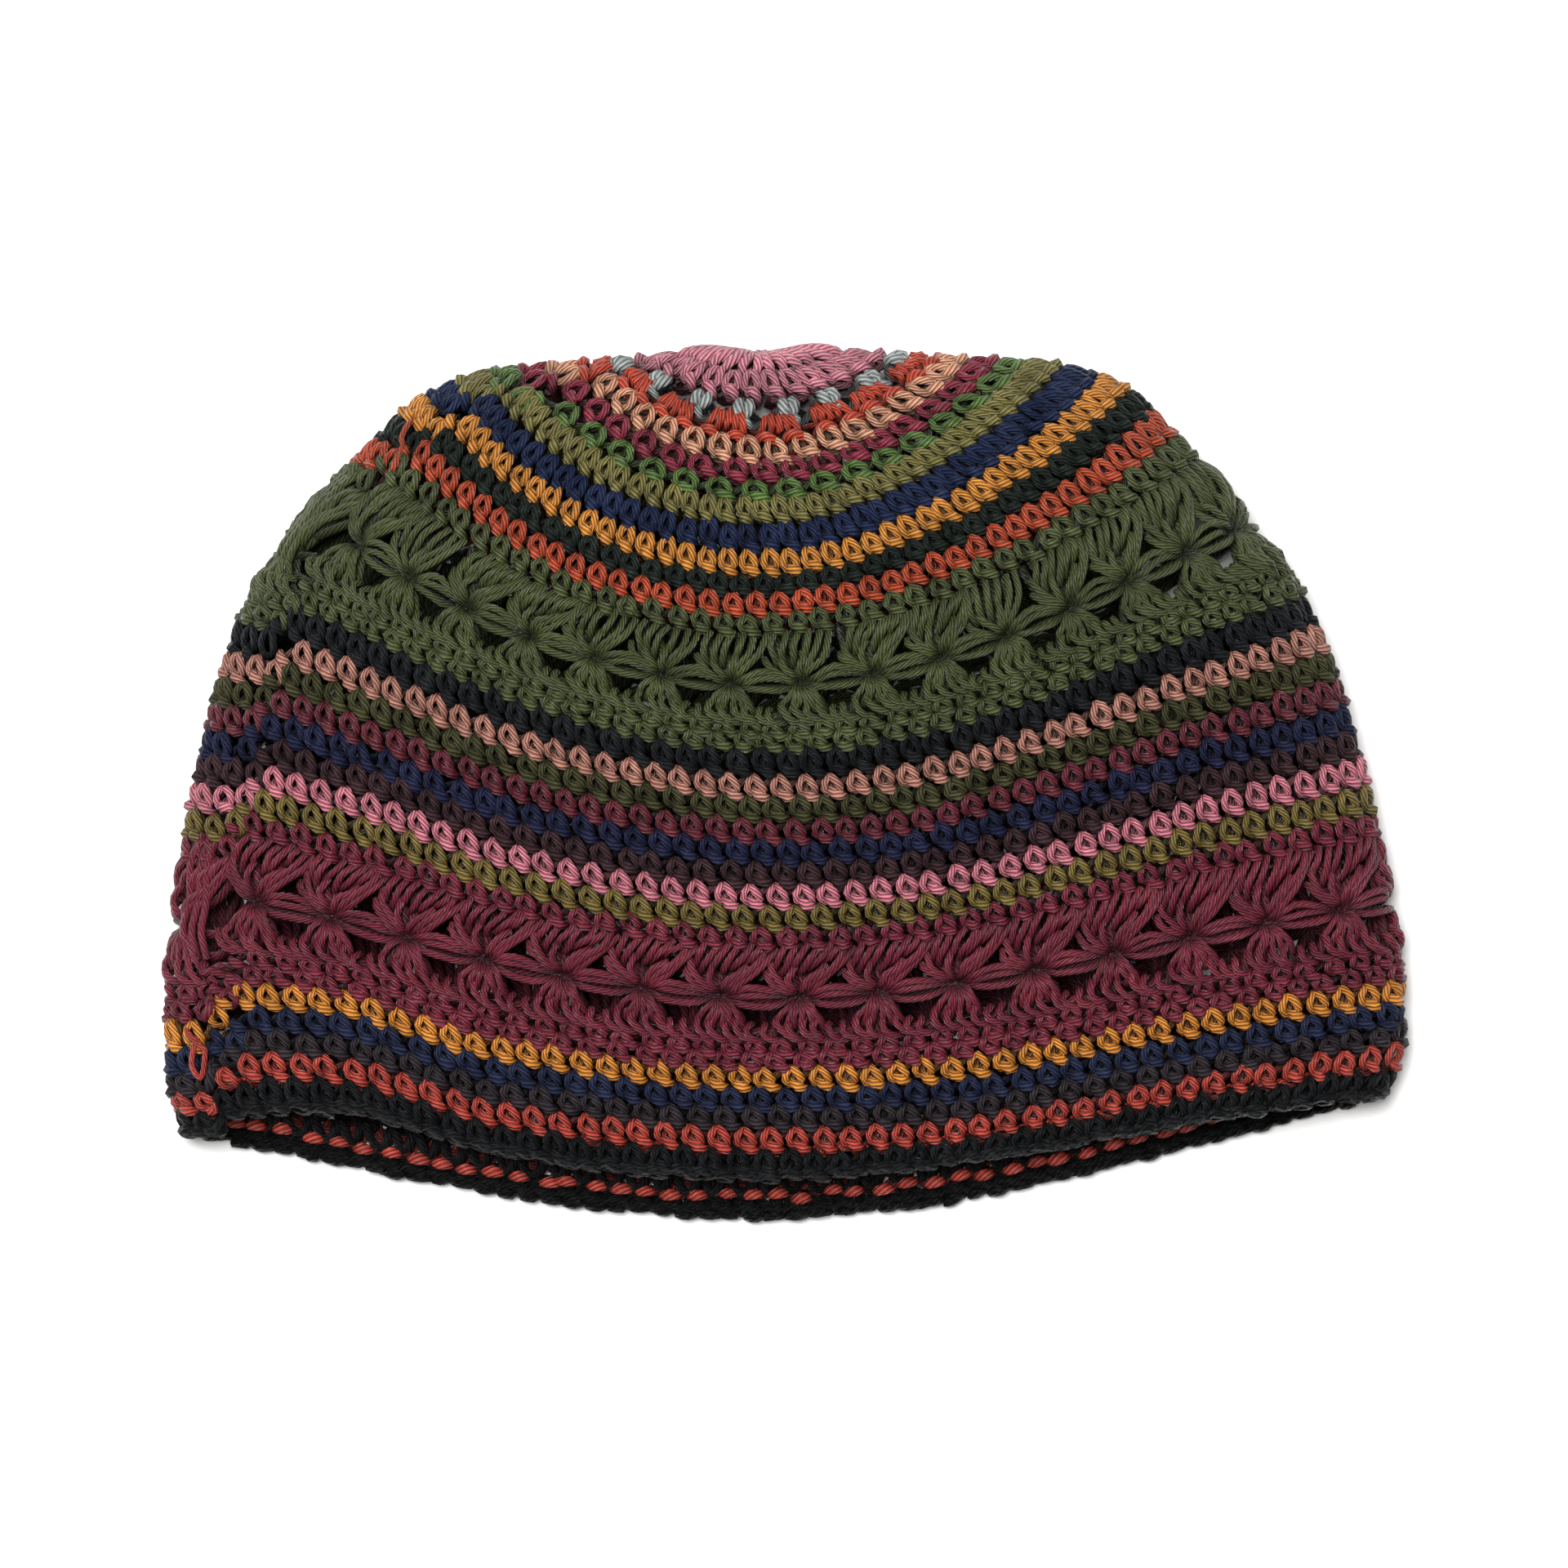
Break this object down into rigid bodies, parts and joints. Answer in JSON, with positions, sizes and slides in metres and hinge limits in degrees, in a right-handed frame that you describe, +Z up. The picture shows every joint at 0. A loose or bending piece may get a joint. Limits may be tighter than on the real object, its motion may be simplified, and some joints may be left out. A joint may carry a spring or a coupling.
{
  "type": "crocheted kufi cap",
  "caption": "Round crocheted skullcap in striped cotton yarns with openwork wheel bands, lying flat and puffed on its back layer, open at the rim.",
  "frame": {"origin": "bottom centre of the bounding box, on the surface that the cap lies on", "axes": "+X from the left side fold to the right one, +Y from the rim to the crown, +Z up from the surface"},
  "size_m": [0.2646, 0.1848, 0.0436],
  "materials": {
    "rose_crown_center": "matt cotton yarn",
    "grey_round": "matt cotton yarn",
    "vermilion_round": "matt cotton yarn",
    "peach_round": "matt cotton yarn",
    "wine_crown_round": "matt cotton yarn",
    "leaf_green_round": "matt cotton yarn",
    "khaki_round": "matt cotton yarn",
    "navy_crown_round": "matt cotton yarn",
    "gold_crown_round": "matt cotton yarn",
    "bottle_green_round": "matt cotton yarn",
    "orange_round": "matt cotton yarn",
    "green_wheel_band": "matt cotton yarn",
    "black_round": "matt cotton yarn",
    "salmon_round": "matt cotton yarn",
    "moss_round": "matt cotton yarn",
    "wine_side_round": "matt cotton yarn",
    "navy_side_round": "matt cotton yarn",
    "brown_round": "matt cotton yarn",
    "pink_round": "matt cotton yarn",
    "olive_round": "matt cotton yarn",
    "wine_wheel_band": "matt cotton yarn",
    "gold_rim_round": "matt cotton yarn",
    "navy_rim_round": "matt cotton yarn",
    "charcoal_round": "matt cotton yarn",
    "red_rim_round": "matt cotton yarn",
    "black_rim_edge": "matt cotton yarn"
  },
  "bodies": {
    "root": {"rose_crown_center": "rose_crown_center", "grey_round": "grey_round", "vermilion_round": "vermilion_round", "peach_round": "peach_round", "wine_crown_round": "wine_crown_round", "leaf_green_round": "leaf_green_round", "khaki_round": "khaki_round", "navy_crown_round": "navy_crown_round", "gold_crown_round": "gold_crown_round", "bottle_green_round": "bottle_green_round", "orange_round": "orange_round", "green_wheel_band": "green_wheel_band", "black_round": "black_round", "salmon_round": "salmon_round", "moss_round": "moss_round", "wine_side_round": "wine_side_round", "navy_side_round": "navy_side_round", "brown_round": "brown_round", "pink_round": "pink_round", "olive_round": "olive_round", "wine_wheel_band": "wine_wheel_band", "gold_rim_round": "gold_rim_round", "navy_rim_round": "navy_rim_round", "charcoal_round": "charcoal_round", "red_rim_round": "red_rim_round", "black_rim_edge": "black_rim_edge"}
  },
  "joints": []
}
